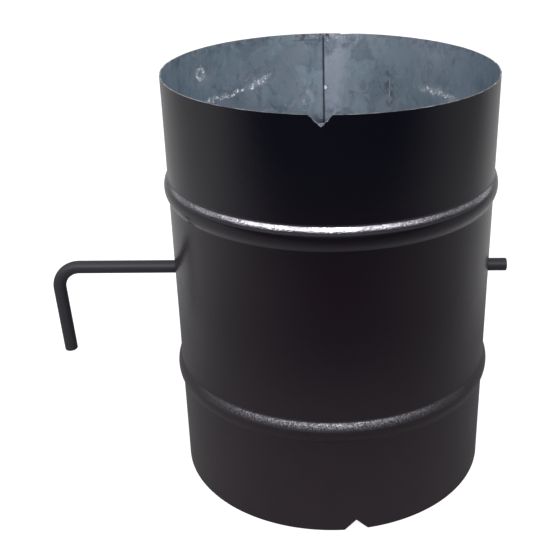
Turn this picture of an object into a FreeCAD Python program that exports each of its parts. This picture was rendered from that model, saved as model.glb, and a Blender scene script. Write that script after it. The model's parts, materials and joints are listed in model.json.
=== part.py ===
import FreeCAD, Part
import math
import os
import Sketcher

# A 6 inch stove pipe damper: a beaded sheet pipe with a folded lock seam, and a turning plate
# on a bent round rod. Millimetres, +Z up, origin on the pipe axis at the bottom rim.

DIMENSIONS = {
    # Pipe wall, one rolled sheet
    "pipe_diameter": 153.0,
    "pipe_length": 200.0,
    "sheet_thickness": 0.6,
    # Beads rolled outward, the same distance above and below the rod
    "bead_offset": 46.9,
    "bead_height": 1.9,
    "bead_crest_radius": 8.5,
    "bead_root_radius": 1.2,
    # V notches in the front of both rims, angles from straight ahead
    "top_notch_width": 9.4,
    "top_notch_depth": 4.7,
    "top_notch_angle": -2.9,
    "bottom_notch_width": 11.0,
    "bottom_notch_depth": 5.5,
    "bottom_notch_angle": 8.1,
    # Lock seam at the back, flush outside, angle of its inner edge from straight behind
    "seam_angle": 2.65,
    "seam_width": 9.0,
    "seam_jog": 4.0,
    "seam_corner_clip": 3.6,
    "fold_gap": 0.1,
    # Round rod with its bent handle
    "rod_diameter": 6.35,
    "rod_height": 101.7,
    "rod_clearance": 0.1,
    "rod_end_radius": 1.0,
    "stub_length": 9.9,
    "handle_reach": 59.5,
    "handle_drop": 46.3,
    "handle_bend_radius": 11.0,
    "handle_lean": 2.5,
    # Damper plate with a pressed trough for the rod
    "plate_thickness": 1.0,
    "plate_clearance": 1.4,
    "rod_seat_gap": 0.05,
    "press_radius": 1.2,
    # Saddle straps over the rod, and their rivets
    "saddle_thickness": 1.2,
    "saddle_width": 17.0,
    "saddle_height": 30.0,
    "saddle_corner_radius": 2.5,
    "saddle_offset": 36.0,
    "rivet_offset": 10.2,
    "rivet_diameter": 4.0,
    "rivet_clearance": 0.05,
    "rivet_head_diameter": 7.4,
    "rivet_head_height": 1.7,
    "rivet_tail_diameter": 6.2,
    "rivet_tail_height": 1.2,
}

ORIGIN = FreeCAD.Vector(0, 0, 0)
UPRIGHT = FreeCAD.Vector(0, 1, 0)
ACROSS_PLATE = FreeCAD.Vector(0, 1, 0)
ANGLE_TOLERANCE = 0.001
START = 1
END = 2
CENTRE = 3
ROOT_POINT = -1
H_AXIS = -1
V_AXIS = -2

doc = FreeCAD.newDocument("stove_pipe_damper")
sheet = doc.addObject("Spreadsheet::Sheet", "Size")
for row, (alias, number) in enumerate(DIMENSIONS.items(), start=1):
    sheet.set(f"A{row}", alias)
    sheet.set(f"B{row}", str(number))
    sheet.setAlias(f"B{row}", alias)
doc.recompute()

# Lengths that several pieces share, as expressions on the sheet
PIPE_RADIUS = "(Size.pipe_diameter / 2)"
FOLD_PITCH = "(Size.sheet_thickness + Size.fold_gap)"
ROD_RADIUS = "(Size.rod_diameter / 2)"
SEAT_RADIUS = f"({ROD_RADIUS} + Size.rod_seat_gap)"
DEGREES_PER_MM = f"(180 / pi / {PIPE_RADIUS})"
SEAM_FOLDS = 3
PLATE_RADIUS = (f"({PIPE_RADIUS} - Size.sheet_thickness - {SEAM_FOLDS} * {FOLD_PITCH}"
                " - Size.plate_clearance)")
RIVET_HOLE_RADIUS = "(Size.rivet_diameter / 2 + Size.rivet_clearance)"


def value(expression):
    """The number that an expression on the sheet has now."""
    result = sheet.evalExpression(expression.replace("Size.", ""))
    return float(getattr(result, "Value", result))


def origin_plane(body, role):
    return next(item for item in body.Origin.OriginFeatures if item.Role == role)


def new_body(label, height=None):
    """A body at the pipe's origin, or with its origin on the rod's axis."""
    body = doc.addObject("PartDesign::Body", label)
    body.Label = label
    if height:
        body.setExpression("Placement.Base.z", height)
    return body


def new_sketch(body, name, role, turn=None, shift=None):
    """A sketch on an origin plane, turned about its upright axis or moved along x, y or z."""
    sketch = body.newObject("Sketcher::SketchObject", name)
    sketch.AttachmentSupport = (origin_plane(body, role), [""])
    sketch.MapMode = "FlatFace"
    if turn:
        sketch.AttachmentOffset = FreeCAD.Placement(ORIGIN, FreeCAD.Rotation(UPRIGHT, value(turn)))
        sketch.setExpression("AttachmentOffset.Rotation.Angle", turn)
    for axis, distance in (shift or {}).items():
        sketch.setExpression(f"AttachmentOffset.Base.{axis}", distance)
    return sketch


def constrain(sketch, kind, *items):
    return sketch.addConstraint(Sketcher.Constraint(kind, *items))


def dimension(sketch, kind, *items):
    """A dimension whose last item is its expression."""
    *geometry, expression = items
    number = value(expression)
    if kind == "Angle":
        number = math.radians(number)
    index = constrain(sketch, kind, *geometry, number)
    sketch.setExpression(f"Constraints[{index}]", expression)


def line(sketch, start, end):
    points = [FreeCAD.Vector(x, y, 0) for x, y in (start, end)]
    return sketch.addGeometry(Part.LineSegment(*points), False)


def arc(sketch, centre, radius, first, last):
    circle = Part.Circle(FreeCAD.Vector(*centre, 0), FreeCAD.Vector(0, 0, 1), radius)
    return sketch.addGeometry(Part.ArcOfCircle(circle, first, last), False)


def circle(sketch, x, y, radius):
    """A circle placed from the sketch's origin by expressions, either of which may be zero."""
    centre = FreeCAD.Vector(value(x), value(y), 0)
    index = sketch.addGeometry(Part.Circle(centre, FreeCAD.Vector(0, 0, 1), value(radius)), False)
    if value(x):
        dimension(sketch, "DistanceX", ROOT_POINT, START, index, CENTRE, x)
    else:
        constrain(sketch, "PointOnObject", index, CENTRE, V_AXIS)
    if value(y):
        dimension(sketch, "DistanceY", ROOT_POINT, START, index, CENTRE, y)
    else:
        constrain(sketch, "PointOnObject", index, CENTRE, H_AXIS)
    dimension(sketch, "Radius", index, radius)
    return index


def polygon(sketch, corners):
    """Joined straight edges, one for each corner."""
    edges = [line(sketch, a, b) for a, b in zip(corners, corners[1:] + corners[:1])]
    for before, after in zip(edges, edges[1:] + edges[:1]):
        constrain(sketch, "Coincident", before, END, after, START)
    return edges


def ridged_line(sketch, x, low, high, ridges):
    """An upright line that swells to the right in round ridges, from the bottom to the top.

    A ridge is its crest centre x and y, its crest radius and its root radius, as expressions.
    Returns the lowest and the highest straight piece.
    """
    straight = []
    y = low
    last_arc = None
    for centre_x, centre_y, crest_radius, root_radius in ridges:
        crest = (value(centre_x), value(centre_y))
        reach = value(crest_radius) + value(root_radius)
        aside = value(x) + value(root_radius) - crest[0]
        half_width = math.sqrt(reach ** 2 - aside ** 2)
        slope = math.asin(half_width / reach)
        if aside < 0:
            slope = math.pi - slope
        root_x = value(x) + value(root_radius)
        lower_end = crest[1] - half_width
        stretch = line(sketch, (value(x), y), (value(x), lower_end))
        lower = arc(sketch, (root_x, lower_end), value(root_radius), math.pi - slope, math.pi)
        top = arc(sketch, crest, value(crest_radius), -slope, slope)
        y = crest[1] + half_width
        upper = arc(sketch, (root_x, y), value(root_radius), math.pi, math.pi + slope)
        if last_arc is not None:
            constrain(sketch, "Tangent", last_arc, START, stretch, START)
        constrain(sketch, "Tangent", stretch, END, lower, END)
        constrain(sketch, "Tangent", lower, START, top, START)
        constrain(sketch, "Tangent", top, END, upper, END)
        dimension(sketch, "Radius", top, crest_radius)
        dimension(sketch, "Radius", lower, root_radius)
        constrain(sketch, "Equal", lower, upper)
        for kind, place, axis in (("DistanceX", centre_x, V_AXIS), ("DistanceY", centre_y, H_AXIS)):
            if value(place):
                dimension(sketch, kind, ROOT_POINT, START, top, CENTRE, place)
            else:
                constrain(sketch, "PointOnObject", top, CENTRE, axis)
        straight.append(stretch)
        last_arc = upper
    straight.append(line(sketch, (value(x), y), (value(x), high)))
    constrain(sketch, "Tangent", last_arc, START, straight[-1], START)
    for stretch in straight:
        constrain(sketch, "Vertical", stretch)
    for stretch in straight[1:]:
        constrain(sketch, "PointOnObject", stretch, START, straight[0])
    dimension(sketch, "DistanceX", ROOT_POINT, START, straight[0], START, x)
    return straight[0], straight[-1]


def sheet_section(sketch, low, high, right, left):
    """The closed section of a sheet between two ridged lines, from height low to high."""
    ends = []
    for x, ridges in (right, left):
        ends.append(ridged_line(sketch, x, value(low), value(high), ridges))
    (right_low, right_high), (left_low, left_high) = ends
    for one, other, side, y in ((right_low, left_low, START, low), (right_high, left_high, END, high)):
        points = [sketch.getPoint(item, side) for item in (one, other)]
        closing = line(sketch, *[(point.x, point.y) for point in points])
        constrain(sketch, "Coincident", closing, START, one, side)
        constrain(sketch, "Coincident", closing, END, other, side)
        constrain(sketch, "Horizontal", closing)
        if value(y):
            dimension(sketch, "DistanceY", ROOT_POINT, START, one, side, y)
        else:
            constrain(sketch, "PointOnObject", one, side, H_AXIS)


def revolve(body, name, sketch, angle):
    feature = body.newObject("PartDesign::Revolution", name)
    feature.Profile = sketch
    feature.ReferenceAxis = (sketch, ["V_Axis"])
    feature.setExpression("Angle", angle)
    doc.recompute()
    return feature


def pad(body, name, sketch, length):
    feature = body.newObject("PartDesign::Pad", name)
    feature.Profile = sketch
    feature.SideType = "Symmetric"
    feature.setExpression("Length", length)
    doc.recompute()
    return feature


def pocket(body, name, sketch, length=None, reverse=False):
    """A cut right through both ways, or one way to a length. It has to remove something."""
    before = body.Shape.Volume
    feature = body.newObject("PartDesign::Pocket", name)
    feature.Profile = sketch
    if length:
        feature.Reversed = reverse
        feature.setExpression("Length", length)
    else:
        feature.Type = "ThroughAll"
        feature.SideType = "Symmetric"
    doc.recompute()
    if not body.Shape.Volume < before:
        raise RuntimeError(f"{name} cuts nothing")
    return feature


def wall_section(body, name, turn, outer_layer, inner_layer):
    """The pipe's wall with its two beads, from one fold layer to another, layer 0 outermost."""
    sketch = new_sketch(body, name, "XZ_Plane", turn=turn)
    sides = []
    crest_x = f"{PIPE_RADIUS} + Size.bead_height - Size.bead_crest_radius"
    for layer, inset in ((outer_layer, "0"), (inner_layer, "Size.sheet_thickness")):
        depth = f"({layer} * {FOLD_PITCH} + {inset})"
        crest_radius = f"Size.bead_crest_radius - {depth}"
        root_radius = f"Size.bead_root_radius + {depth}"
        ridges = []
        for sign in "-+":
            ridges.append((crest_x, f"Size.rod_height {sign} Size.bead_offset", crest_radius, root_radius))
        sides.append((f"{PIPE_RADIUS} - {depth}", ridges))
    sheet_section(sketch, "0", "Size.pipe_length", *sides)
    return sketch


def notch(body, name, turn, width, depth, rim, upward):
    """A V cut in a rim, through the wall on the side that the turned plane faces."""
    sketch = new_sketch(body, name + "_outline", "XZ_Plane", turn=turn)
    tip_y = value(f"{rim} - ({upward}) * {depth}")
    mouth_y = value(f"{rim} + ({upward}) * {depth}")
    corners = [(0, tip_y), (value(width), mouth_y), (-value(width), mouth_y)]
    first, mouth, last = polygon(sketch, corners)
    constrain(sketch, "Symmetric", mouth, START, mouth, END, V_AXIS)
    constrain(sketch, "PointOnObject", first, START, V_AXIS)
    dimension(sketch, "DistanceY", ROOT_POINT, START, first, START, f"{rim} - ({upward}) * {depth}")
    dimension(sketch, "DistanceY", ROOT_POINT, START, mouth, START, f"{rim} + ({upward}) * {depth}")
    dimension(sketch, "DistanceX", mouth, END, mouth, START, f"2 * {width}")
    pocket(body, name, sketch, PIPE_RADIUS, reverse=True)


def clip_seam_corner(body, name, turn, rim, upward):
    """The seam's inner folds are clipped at 45 degrees where their edge meets a rim."""
    sketch = new_sketch(body, name + "_outline", "XZ_Plane", turn=turn)
    clip = "Size.seam_corner_clip"
    corner = value(f"{rim} - ({upward}) * {clip}")
    beyond = value(f"{rim} + ({upward}) * {clip}")
    half = value(clip) / 2
    inner, mouth, edge = polygon(sketch, [(half, corner), (-3 * half, beyond), (half, beyond)])
    constrain(sketch, "Horizontal", mouth)
    constrain(sketch, "Vertical", edge)
    dimension(sketch, "DistanceX", ROOT_POINT, START, inner, START, f"{clip} / 2")
    dimension(sketch, "DistanceY", ROOT_POINT, START, inner, START, f"{rim} - ({upward}) * {clip}")
    dimension(sketch, "DistanceY", ROOT_POINT, START, mouth, START, f"{rim} + ({upward}) * {clip}")
    dimension(sketch, "DistanceX", inner, END, inner, START, f"2 * {clip}")
    depth = f"{PIPE_RADIUS} - Size.sheet_thickness - Size.fold_gap / 2"
    pocket(body, name, sketch, depth, reverse=True)


def build_pipe_shell():
    """One rolled sheet: beads, interlocked folds of the seam, rod holes and rim notches."""
    body = new_body("pipe_shell")
    edge = "(90 + Size.seam_angle)"
    far = f"({edge} - Size.seam_width * {DEGREES_PER_MM})"
    jog_start = f"({far} - Size.fold_gap * {DEGREES_PER_MM})"
    jog_end = f"({jog_start} - Size.seam_jog * {DEGREES_PER_MM})"
    fold = f"Size.sheet_thickness * {DEGREES_PER_MM}"
    hook = f"(Size.seam_width - {FOLD_PITCH}) * {DEGREES_PER_MM}"

    # The wall, then its outer end folded inward and back
    wall = wall_section(body, "wall_section", far, 0, 0)
    revolve(body, "wall", wall, f"360 - ({far} - {jog_end})")
    outer_fold = wall_section(body, "outer_fold_section", far, 0, 2)
    revolve(body, "outer_fold", outer_fold, fold)
    outer_hook = wall_section(body, "outer_hook_section", far, 2, 2)
    revolve(body, "outer_hook", outer_hook, hook)

    # The other end jogs inward under the folds, then turns outward and back between them
    jog = body.newObject("PartDesign::AdditiveLoft", "inner_jog")
    jog.Profile = wall_section(body, "jog_end_section", jog_end, 0, 0)
    jog.Sections = [wall_section(body, "jog_start_section", jog_start, SEAM_FOLDS, SEAM_FOLDS)]
    jog.Ruled = True
    doc.recompute()
    inner_lap = wall_section(body, "inner_lap_section", jog_start, SEAM_FOLDS, SEAM_FOLDS)
    revolve(body, "inner_lap", inner_lap, f"{edge} - {jog_start}")
    inner_fold = wall_section(body, "inner_fold_section", f"{edge} - {fold}", 1, SEAM_FOLDS)
    revolve(body, "inner_fold", inner_fold, fold)
    inner_hook = wall_section(body, "inner_hook_section", f"{edge} - {hook}", 1, 1)
    revolve(body, "inner_hook", inner_hook, hook)

    clip_turn = f"{edge} - 90 - Size.seam_corner_clip / 2 * {DEGREES_PER_MM} + 180"
    clip_seam_corner(body, "top_seam_clip", clip_turn, "Size.pipe_length", "1")
    clip_seam_corner(body, "bottom_seam_clip", clip_turn, "0", "-1")

    rod_holes = new_sketch(body, "rod_holes_outline", "YZ_Plane")
    circle(rod_holes, "0", "Size.rod_height", f"{ROD_RADIUS} + Size.rod_clearance")
    pocket(body, "rod_holes", rod_holes)
    for rim_name, rim, upward in (("top", "Size.pipe_length", "1"), ("bottom", "0", "-1")):
        size = f"Size.{rim_name}_notch"
        notch(body, f"{rim_name}_notch", f"{size}_angle", f"{size}_width", f"{size}_depth", rim, upward)
    return body


def build_control_rod():
    """Round bar along X, its left end bent down into the handle."""
    body = new_body("control_rod", "Size.rod_height")
    stub_x = f"({PIPE_RADIUS} + Size.stub_length)"
    bend_x = f"({PIPE_RADIUS} + Size.handle_reach - Size.handle_bend_radius)"
    bend = value("Size.handle_bend_radius")
    lean = math.radians(value("Size.handle_lean"))
    left = -value(bend_x)
    leg_top = (left - bend * math.cos(lean), -bend - bend * math.sin(lean))
    drop = value("Size.handle_drop")
    leg_bottom = (leg_top[0] + (drop + leg_top[1]) * math.tan(lean), -drop)

    path = new_sketch(body, "bar_path", "XZ_Plane")
    straight = line(path, (value(stub_x), 0), (left, 0))
    turn = arc(path, (left, -bend), bend, math.pi / 2, math.pi + lean)
    leg = line(path, leg_top, leg_bottom)
    constrain(path, "Tangent", straight, END, turn, START)
    constrain(path, "Tangent", turn, END, leg, START)
    constrain(path, "Horizontal", straight)
    constrain(path, "PointOnObject", straight, START, H_AXIS)
    dimension(path, "DistanceX", ROOT_POINT, START, straight, START, stub_x)
    dimension(path, "DistanceX", turn, CENTRE, ROOT_POINT, START, bend_x)
    dimension(path, "Radius", turn, "Size.handle_bend_radius")
    dimension(path, "DistanceY", leg, END, ROOT_POINT, START, "Size.handle_drop")
    dimension(path, "Angle", leg, "Size.handle_lean - 90")

    profile = new_sketch(body, "bar_section", "YZ_Plane", shift={"z": stub_x})
    circle(profile, "0", "0", ROD_RADIUS)
    bar = body.newObject("PartDesign::AdditivePipe", "bent_bar")
    bar.Profile = profile
    bar.Spine = (path, [])
    doc.recompute()

    end_edges = []
    for number, face in enumerate(bar.Shape.Faces, start=1):
        if face.Surface.TypeId == "Part::GeomPlane":
            end_edges.append(f"Face{number}")
    rounding = body.newObject("PartDesign::Fillet", "rounded_ends")
    rounding.Base = (bar, end_edges)
    rounding.setExpression("Radius", "Size.rod_end_radius")
    doc.recompute()
    return body


def formed_sheet(body, inner_x, thickness, half_height, length, turn=None):
    """A flat sheet with a round channel pressed along X to clasp the rod, padded along X."""
    sketch = new_sketch(body, "channel_section", "YZ_Plane", turn=turn)
    outer_x = f"{inner_x} + {thickness}"
    inner = ("0", "0", SEAT_RADIUS, f"Size.press_radius + {thickness}")
    outer = ("0", "0", f"{SEAT_RADIUS} + {thickness}", "Size.press_radius")
    sheet_section(sketch, f"-({half_height})", half_height, (outer_x, [outer]), (inner_x, [inner]))
    return pad(body, "formed_sheet", sketch, length)


def build_damper_plate():
    """Round plate, open at rest, with a trough across it that the rod lies in."""
    body = new_body("damper_plate", "Size.rod_height")
    formed_sheet(body, "-Size.plate_thickness / 2", "Size.plate_thickness", PLATE_RADIUS, f"2 * {PLATE_RADIUS}")
    outline = new_sketch(body, "round_outline", "XZ_Plane")
    circle(outline, "0", "0", PLATE_RADIUS)
    circle(outline, "0", "0", f"2 * {PLATE_RADIUS}")
    pocket(body, "round_trim", outline)
    holes = new_sketch(body, "rivet_holes_outline", "XZ_Plane")
    for x in ("-Size.saddle_offset", "Size.saddle_offset"):
        for z in ("-Size.rivet_offset", "Size.rivet_offset"):
            circle(holes, x, z, RIVET_HOLE_RADIUS)
    pocket(body, "rivet_holes", holes)
    return body


def build_saddle(label, x):
    """A strap bent over the rod, its feet flat on the plate."""
    body = new_body(label, "Size.rod_height")
    body.setExpression("Placement.Base.x", x)
    strap = formed_sheet(body, "Size.plate_thickness / 2", "Size.saddle_thickness",
                         "Size.saddle_height / 2", "Size.saddle_width", turn="180")
    corners = []
    for number, edge in enumerate(strap.Shape.Edges, start=1):
        if edge.tangentAt(edge.FirstParameter).isParallel(ACROSS_PLATE, ANGLE_TOLERANCE):
            corners.append(f"Edge{number}")
    rounding = body.newObject("PartDesign::Fillet", "rounded_feet")
    rounding.Base = (strap, corners)
    rounding.setExpression("Radius", "Size.saddle_corner_radius")
    doc.recompute()
    holes = new_sketch(body, "rivet_holes_outline", "XZ_Plane")
    for z in ("-Size.rivet_offset", "Size.rivet_offset"):
        circle(holes, "0", z, RIVET_HOLE_RADIUS)
    pocket(body, "rivet_holes", holes)
    return body


def build_saddle_rivets():
    """Four domed rivets through the saddles' feet and the plate, as one group."""
    body = new_body("saddle_rivets", "Size.rod_height")
    body.AllowCompound = True
    seat = "(Size.plate_thickness / 2 + Size.saddle_thickness)"
    back = "(Size.plate_thickness / 2)"
    profile = new_sketch(body, "rivet_section", "XY_Plane",
                         shift={"x": "Size.saddle_offset", "z": "Size.rivet_offset"})
    shank = value("Size.rivet_diameter / 2")
    ends = {}
    for name, sign, face in (("head", -1, seat), ("tail", 1, back)):
        radius = value(f"Size.rivet_{name}_diameter / 2")
        height = value(f"Size.rivet_{name}_height")
        dome = (radius ** 2 + height ** 2) / (2 * height)
        spread = math.asin(radius / dome)
        base = sign * value(face)
        centre = (0, base + sign * (height - dome))
        if sign < 0:
            cap = arc(profile, centre, dome, -math.pi / 2, -math.pi / 2 + spread)
            rim, tip = END, START
        else:
            cap = arc(profile, centre, dome, math.pi / 2 - spread, math.pi / 2)
            rim, tip = START, END
        ledge = line(profile, (radius, base), (shank, base))
        constrain(profile, "PointOnObject", cap, CENTRE, V_AXIS)
        constrain(profile, "PointOnObject", cap, tip, V_AXIS)
        constrain(profile, "Coincident", ledge, START, cap, rim)
        constrain(profile, "Horizontal", ledge)
        dimension(profile, "DistanceX", ROOT_POINT, START, ledge, START, f"Size.rivet_{name}_diameter / 2")
        dimension(profile, "DistanceY", ROOT_POINT, START, ledge, START, f"{sign} * {face}")
        dimension(profile, "DistanceY", ROOT_POINT, START, cap, tip,
                  f"{sign} * ({face} + Size.rivet_{name}_height)")
        ends[name] = (ledge, cap, tip, base, base + sign * height)
    side = line(profile, (shank, ends["head"][3]), (shank, ends["tail"][3]))
    axis = line(profile, (0, ends["head"][4]), (0, ends["tail"][4]))
    for line_end, name in ((START, "head"), (END, "tail")):
        ledge, cap, tip, *_ = ends[name]
        constrain(profile, "Coincident", side, line_end, ledge, END)
        constrain(profile, "Coincident", axis, line_end, cap, tip)
    constrain(profile, "Vertical", side)
    dimension(profile, "DistanceX", ROOT_POINT, START, side, START, "Size.rivet_diameter / 2")
    rivet = revolve(body, "rivet", profile, "360")

    spread = body.newObject("PartDesign::MultiTransform", "all_rivets")
    spread.Originals = [rivet]
    steps = []
    for role, spacing in (("X_Axis", "2 * Size.saddle_offset"), ("Z_Axis", "2 * Size.rivet_offset")):
        step = body.newObject("PartDesign::LinearPattern", f"rivets_along_{role[0].lower()}")
        step.Direction = (origin_plane(body, role), [""])
        step.Reversed = True
        step.Occurrences = 2
        step.setExpression("Length", spacing)
        steps.append(step)
    spread.Transformations = steps
    body.Tip = spread
    doc.recompute()
    return body


def write_parts(bodies):
    doc.recompute()
    for item in doc.Objects:
        if {"Invalid", "Error"} & set(item.State):
            raise RuntimeError(f"{item.Label} failed: {item.State}")
    for body in bodies:
        if body.Shape.isNull() or not body.Shape.isValid():
            raise RuntimeError(f"{body.Label} has no valid shape")
    os.makedirs("parts", exist_ok=True)
    for body in bodies:
        body.Shape.exportStep(f"parts/{body.Label}.step")
        print(body.Label, len(body.Shape.Solids), "solid,", round(body.Shape.Volume), "mm3,", body.Shape.BoundBox)


write_parts([
    build_pipe_shell(),
    build_control_rod(),
    build_damper_plate(),
    build_saddle("left_saddle", "-Size.saddle_offset"),
    build_saddle("right_saddle", "Size.saddle_offset"),
    build_saddle_rivets(),
])
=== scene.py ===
import json
import math

import bmesh
import bpy
from mathutils import Matrix, Vector


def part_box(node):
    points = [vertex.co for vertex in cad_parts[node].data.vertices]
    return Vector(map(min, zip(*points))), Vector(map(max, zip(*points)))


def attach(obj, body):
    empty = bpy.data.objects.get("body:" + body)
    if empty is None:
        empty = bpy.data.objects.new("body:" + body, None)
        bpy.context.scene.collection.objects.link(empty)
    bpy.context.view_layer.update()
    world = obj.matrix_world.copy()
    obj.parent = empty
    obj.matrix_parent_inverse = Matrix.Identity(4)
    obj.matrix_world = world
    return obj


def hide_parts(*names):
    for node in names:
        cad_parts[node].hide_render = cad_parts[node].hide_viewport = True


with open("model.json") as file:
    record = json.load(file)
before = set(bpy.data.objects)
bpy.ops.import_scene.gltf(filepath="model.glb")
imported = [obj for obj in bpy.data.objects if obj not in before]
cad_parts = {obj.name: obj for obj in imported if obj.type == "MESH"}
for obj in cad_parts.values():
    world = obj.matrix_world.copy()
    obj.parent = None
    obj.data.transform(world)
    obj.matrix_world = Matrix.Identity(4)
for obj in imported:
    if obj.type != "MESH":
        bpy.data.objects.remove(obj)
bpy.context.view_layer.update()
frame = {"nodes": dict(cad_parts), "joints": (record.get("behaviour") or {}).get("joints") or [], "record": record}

MM = 0.001
ORIGIN = (0.0, 0.0, 0.0)
UP = (0.0, 0.0, 1.0)
ACROSS = (0.0, 1.0, 0.0)

# Sizes taken from the frame
shell_low, shell_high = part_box("pipe_shell")
rod_low, rod_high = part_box("control_rod")
spigot = frame["record"]["mounts"][0]
hinge = frame["joints"][0]
PIPE_RADIUS = spigot["dims"]["r_mm"] * MM
PIPE_LENGTH = shell_high.z
ROD_HEIGHT = hinge["pos_m"][2]
ROD_RADIUS = (rod_high.y - rod_low.y) / 2
STUB_END = rod_high.x

# Rolled sheet of the pipe
SHEET = 0.6 * MM
BEAD_OFFSET = 46.9 * MM
BEAD_HEIGHT = 1.9 * MM
BEAD_ROOT = 1.2 * MM
LOWER_BEAD_CREST = 8.5 * MM
LOWER_BEAD_SLOPE = 34
UPPER_BEAD_CREST = 8.17 * MM
UPPER_BEAD_SLOPE = 30.5
ARC_STEPS = 7
WALL_STEP = 3.0 * MM
WALL_TURN_STEPS = 240
MERGE_REACH = 0.001 * MM
SMOOTH_ANGLE = 40

# Lock seam behind, an interlocked fold of four layers
SEAM_ANGLE = 92.65
SEAM_WIDTH = 9.0 * MM
SEAM_JOG = 10.0 * MM
LAYER = 0.7 * MM
FOLD_STEPS = 6
JOG_STEPS = 12
HOOK_SHORTFALL = 1.6 * MM
LAP_FACE = PIPE_RADIUS - 3 * LAYER - SHEET
FOLD_FACE = PIPE_RADIUS - (LAYER + SHEET) / 2
CORNER_CLIP = 3.6 * MM
CLIP_SIDES = 4
PUNCH_HEIGHT = 172.0 * MM
PUNCH_ANGLE = 92.3
PUNCH_RADIUS = 0.4 * MM
PUNCH_DEPTH = 0.6 * SHEET
PUNCH_SIDES = 24
SEAM_HOLE_HEIGHT = 197.6 * MM
SEAM_HOLE_ANGLE = 91.1
SEAM_HOLE_RADIUS = 1.1 * MM

# Unevenness of the rolled sheet, and the knock in it at the left behind
WAVE_DEPTH = 0.22 * MM
WAVE_SIZE = 0.07
WAVE_START = 0.3
DENT_ANGLE = 148.8
DENT_HEIGHT = 187.5 * MM
DENT_DEPTH = 0.9 * MM
DENT_REACH = 7.0 * MM

# Notches in the front rims
TOP_NOTCH_WIDTH = 9.4 * MM
TOP_NOTCH_DEPTH = 4.7 * MM
TOP_NOTCH_ANGLE = -2.9
BOTTOM_NOTCH_WIDTH = 11.0 * MM
BOTTOM_NOTCH_DEPTH = 5.5 * MM
BOTTOM_NOTCH_ANGLE = 8.1
NOTCH_TOOL_OVERSIZE = 1.2
NOTCH_TOOL_LENGTH = 12.0 * MM

# Rod and bent handle
ROD_HOLE_GAP = 0.1 * MM
ROD_HOLE_SIDES = 64
ROD_END_ROUND = 0.6 * MM
ROD_END_STEPS = 5
HANDLE_BEND = 11.0 * MM
HANDLE_LEAN = 2.5
ROD_SIDES = 48
BEND_STEPS = 26

# Material slots of the shell, in order: paint outside, zinc inside, bare cut edge
INSIDE_SLOT = 1
EDGE_SLOT = 2

# Heat paint. A lit lower tone and a shaded, bluer upper tone: painted reflection, lighter where the lower wall
# faces the floor. The dust film lower down also carries painted reflection.
PIPE_UPPER_SHADED = (0.0008, 0.0012, 0.0042, 1)
PIPE_LOWER_LIT = (0.006, 0.003, 0.006, 1)
PIPE_DUST_AND_REFLECTION = (0.013, 0.0075, 0.011, 1)
PIPE_GLOSS = 0.15
PIPE_DULLING = 0.3
PIPE_GRAIN_DEPTH = 0.06 * MM
PIPE_SPECULAR = 0.52
ROD_BLACK = (0.021, 0.0205, 0.026, 1)
ROD_GLOSS = 0.52
ROD_GRAIN_DEPTH = 0.05 * MM
ROD_SPECULAR = 0.35
GRAIN_SCALE = 1600.0
PEEL_SCALE = 420.0
PEEL_SHARE = 0.8
GLOSS_CLOUD_SCALE = 24.0
GLOSS_CLOUD_DEPTH = 0.16
DUST_AND_REFLECTION_FILM_SCALE = 55.0
DUST_AND_REFLECTION_HEIGHT = 100.0 * MM

# Wear of the pipe's paint: burnished bead flanks, a fresher upper half, and chips by the top notch
BURNISHED_PAINT = (0.25, 0.25, 0.27, 1)
BURNISH_SCALE = 1500.0
BURNISHED_FROM = 0.35
LOWER_FLANK_START = 2.2 * MM
UPPER_FLANK_START = 2.6 * MM
FLANK_END = 5.4 * MM
FLANK_SOFT = 0.9 * MM
LOWER_BEAD_RUB = 0.92
LOWER_RUB_REACH = (1.0, 0.45)
UPPER_BEAD_RUB = (0.32, 0.8)
FRESH_PAINT_SHEEN = 0.27
FRESH_PAINT_ROUGHNESS = 0.25
FRESH_PAINT_HEIGHTS = (95.0 * MM, 140.0 * MM)
CHIPPED_STEEL = (0.42, 0.42, 0.47, 1)
CHIP_SCALE = 700.0
CHIP_SHARE = 0.8
CHIP_REACH = (0.7 * MM, 0.25 * MM)
CHIP_BELOW_TIP = (0.8 * MM, 0.2 * MM)
CHIP_LEFT_SHARE = 0.35
CHIP_MIDDLE = 0.01

# Galvanised coat
ZINC_SLATE = (0.325, 0.42, 0.485, 1)
ZINC_LAVENDER = (0.405, 0.465, 0.54, 1)
# Dark stain of the zinc, also the colour of the painted shade down the inside's right
ZINC_STAIN_AND_SHADE = (0.12, 0.15, 0.18, 1)
ZINC_BAND = (0.66, 0.6, 0.73, 1)
ZINC_SPANGLE = (0.74, 0.78, 0.84, 1)
# Pale rubbed zinc, also the colour of the painted highlights inside the pipe
RUBBED_ZINC_AND_HIGHLIGHT = (0.97, 0.98, 1.0, 1)
# Grime by the seam and in the runs, also the colour of the painted shade in the seam's crevice
SEAM_GRIME_AND_SHADE = (0.03, 0.03, 0.05, 1)
OVERSPRAY = (0.1, 0.1, 0.13, 1)
INSIDE_CONTRAST = 0.45
PLATE_CONTRAST = 0.5
ZINC_METALLIC = 0.8
# Metallic and roughening of the painted highlights and the bright marks inside
HIGHLIGHT_AND_MARK_METALLIC = 0.2
HIGHLIGHT_AND_MARK_ROUGHENING = 0.25
ZINC_RELIEF = 0.12 * MM
ZINC_RELIEF_STRENGTH = 0.6
ZINC_SMOOTHEST = 0.28
CRYSTAL_SCALE = 85.0
CRYSTAL_SWAY_SCALE = 130.0
CRYSTAL_SWAY = (0.016, 0.016, 0.016)
CRYSTAL_PATCH_DEPTH = 0.16
ZINC_CLOUD_SCALE = 30.0
ZINC_MOTTLE_SCALE = 210.0
ZINC_STAIN_SCALE = 110.0
ZINC_FINE_SCALE = 1000.0
HANGING_STRETCH = (1.0, 1.0, 0.55)
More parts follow.
